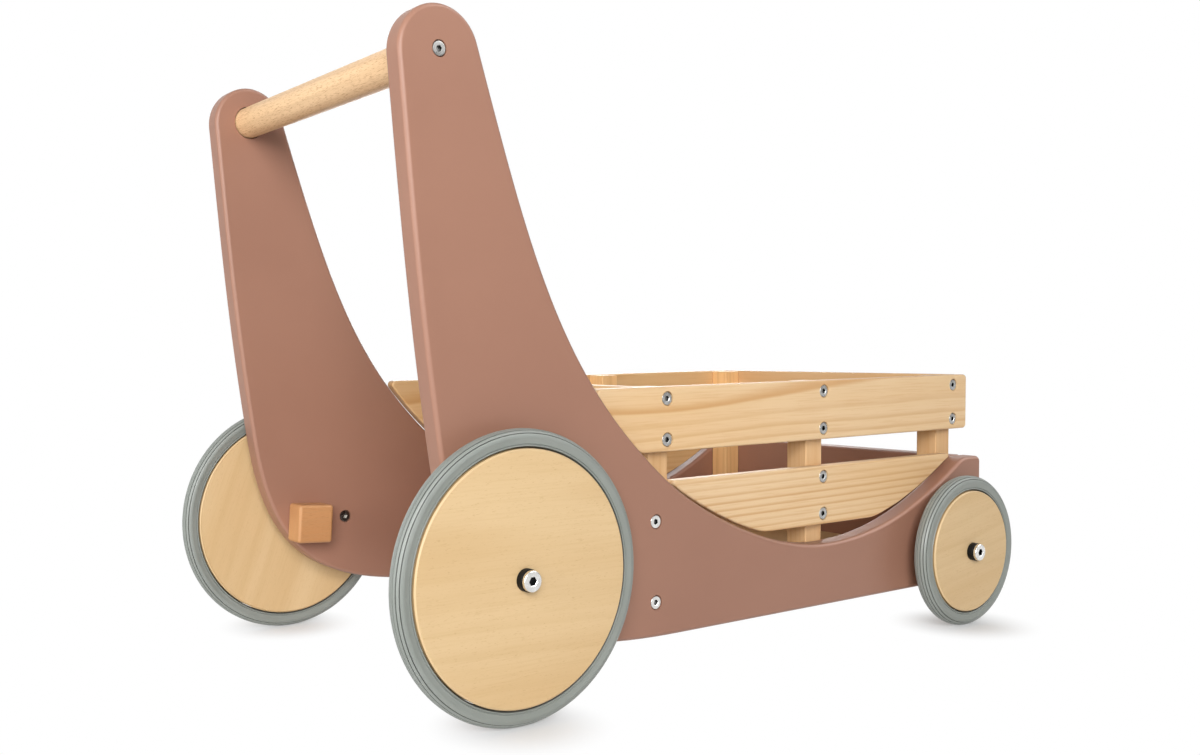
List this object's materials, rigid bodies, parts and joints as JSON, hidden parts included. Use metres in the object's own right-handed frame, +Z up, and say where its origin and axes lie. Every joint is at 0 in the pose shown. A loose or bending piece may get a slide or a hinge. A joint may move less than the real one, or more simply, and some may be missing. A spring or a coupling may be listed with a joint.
{
  "type": "baby push walker",
  "caption": "Wooden baby push walker: painted side panels that sweep down from a round handle bar to a slatted crate, on large rear and small front plywood wheels with rubber tyres.",
  "frame": {"origin": "on the floor, in the middle of the walker's length and width", "axes": "+X forward, from the handle to the nose; +Y to the walker's left; +Z up"},
  "size_m": [0.599, 0.3424, 0.4285],
  "materials": {
    "paint": "satin dusty mauve paint on plywood",
    "pine": "pale pine, matt lacquer",
    "beech": "turned beech, matt lacquer",
    "plywood": "birch plywood, matt lacquer",
    "rubber": "soft grey rubber",
    "plastic": "black moulded plastic",
    "felt": "dense grey felt",
    "steel": "bright nickel plate",
    "brass": "bare brass"
  },
  "bodies": {
    "frame": {"side_panel_right": "paint", "side_panel_left": "paint", "front_panel": "paint", "rear_panel": "paint", "handle_bar": "beech", "post_rear_right": "pine", "post_rear_left": "pine", "post_mid_right": "pine", "post_mid_left": "pine", "post_front_right": "pine", "post_front_left": "pine", "upper_slat_right": "pine", "upper_slat_left": "pine", "lower_slat_right": "pine", "lower_slat_left": "pine", "front_slat": "pine", "rear_slat": "pine", "crate_floor": "plywood", "floor_batten_right": "pine", "floor_batten_left": "pine", "handle_screw_right": "steel", "handle_screw_left": "steel", "rear_panel_screw_low_right": "steel", "rear_panel_screw_low_left": "steel", "rear_panel_screw_high_right": "steel", "rear_panel_screw_high_left": "steel", "front_panel_screw_low_right": "steel", "front_panel_screw_low_left": "steel", "front_panel_screw_high_right": "steel", "front_panel_screw_high_left": "steel", "pad_screw_right": "steel", "pad_screw_left": "steel", "friction_pad_right": "felt", "friction_pad_left": "felt", "rear_axle_bolt_right": "steel", "rear_axle_bolt_left": "steel", "front_axle_bolt_right": "steel", "front_axle_bolt_left": "steel", "front_axle_nut_right": "steel", "front_axle_nut_left": "steel", "rear_spacer_right": "plastic", "rear_spacer_left": "plastic", "front_spacer_right": "plastic", "front_spacer_left": "plastic"},
    "rear_wheel_right": {"rear_disc_right": "plywood", "rear_tyre_right": "rubber", "rear_bush_right": "plastic"},
    "rear_wheel_left": {"rear_disc_left": "plywood", "rear_tyre_left": "rubber", "rear_bush_left": "plastic"},
    "front_wheel_right": {"front_disc_right": "plywood", "front_tyre_right": "rubber", "front_bush_right": "plastic"},
    "front_wheel_left": {"front_disc_left": "plywood", "front_tyre_left": "rubber", "front_bush_left": "plastic"},
    "brake_knob_right": {"knob_right": "beech", "knob_insert_right": "brass"},
    "brake_knob_left": {"knob_left": "beech", "knob_insert_left": "brass"}
  },
  "joints": [
    {"name": "rear_wheel_right_spin", "type": "hinge", "parent": "frame", "child": "rear_wheel_right", "pos_m": [-0.2095, -0.157, 0.09], "axis": [0, 1, 0], "continuous": true},
    {"name": "rear_wheel_left_spin", "type": "hinge", "parent": "frame", "child": "rear_wheel_left", "pos_m": [-0.2095, 0.157, 0.09], "axis": [0, 1, 0], "continuous": true},
    {"name": "front_wheel_right_spin", "type": "hinge", "parent": "frame", "child": "front_wheel_right", "pos_m": [0.2395, -0.157, 0.06], "axis": [0, 1, 0], "continuous": true},
    {"name": "front_wheel_left_spin", "type": "hinge", "parent": "frame", "child": "front_wheel_left", "pos_m": [0.2395, 0.157, 0.06], "axis": [0, 1, 0], "continuous": true},
    {"name": "brake_knob_right_turn", "type": "hinge", "parent": "frame", "child": "brake_knob_right", "pos_m": [-0.2095, -0.1137, 0.09], "axis": [0, 1, 0], "range_deg": [-180, 180]},
    {"name": "brake_knob_left_turn", "type": "hinge", "parent": "frame", "child": "brake_knob_left", "pos_m": [-0.2095, 0.1137, 0.09], "axis": [0, 1, 0], "range_deg": [-180, 180]}
  ]
}
